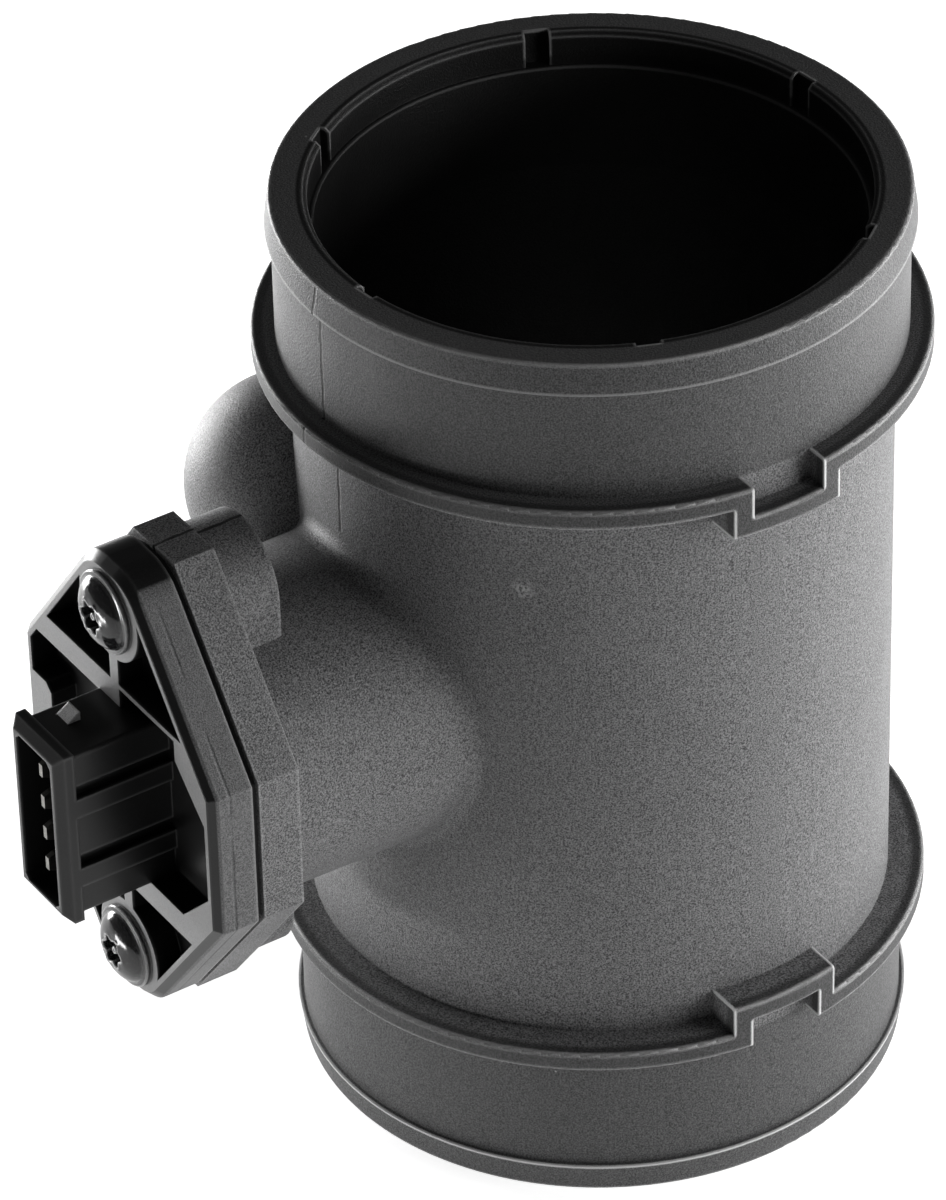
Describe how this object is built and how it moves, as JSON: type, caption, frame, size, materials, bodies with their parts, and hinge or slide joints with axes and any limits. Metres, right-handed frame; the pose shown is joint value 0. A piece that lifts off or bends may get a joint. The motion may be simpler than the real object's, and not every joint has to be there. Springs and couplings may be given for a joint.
{
  "type": "mass airflow sensor",
  "caption": "Mass airflow sensor: grained black measuring tube with hose collars and stepped stop rings, side neck and plug-in sensor with ribbed flange and connector.",
  "frame": {"origin": "centre of the lower rim, on the tube's axis", "axes": "+Z along the tube's axis to the outlet end, -X along the neck to the connector"},
  "size_m": [0.131, 0.0882, 0.1335],
  "materials": {
    "housing_plastic": "fine grained, matt",
    "sensor_plastic": "smooth, semi-matt",
    "seal_rubber": "matt",
    "screw_steel": "black coated, glossy",
    "carrier_aluminium": "rolled, bright",
    "board_ceramic": "matt white",
    "chip_plastic": "matt",
    "capacitor_ceramic": "satin",
    "wire_aluminium": "drawn, bright",
    "element_glass": "polished",
    "bead_glass": "glossy coated bead",
    "lead_steel": "tinned",
    "terminal_brass": "tin plated",
    "grid_plastic": "matt",
    "screen_steel": "drawn wire"
  },
  "bodies": {
    "root": {"housing": "housing_plastic", "sensor_body": "sensor_plastic", "flange_seal": "seal_rubber", "plug_ring_seal": "seal_rubber", "upper_screw": "screw_steel", "lower_screw": "screw_steel", "electronics_cover": "sensor_plastic", "channel_cover": "sensor_plastic", "carrier_plate": "carrier_aluminium", "circuit_board": "board_ceramic", "signal_chip": "chip_plastic", "board_capacitors": "capacitor_ceramic", "bond_wires": "wire_aluminium", "sensing_element": "element_glass", "air_thermistor": "bead_glass", "thermistor_leads": "lead_steel", "terminal_1": "terminal_brass", "terminal_2": "terminal_brass", "terminal_3": "terminal_brass", "terminal_4": "terminal_brass", "flow_straightener": "grid_plastic", "inlet_screen": "screen_steel", "screen_retainer": "grid_plastic"}
  },
  "joints": []
}
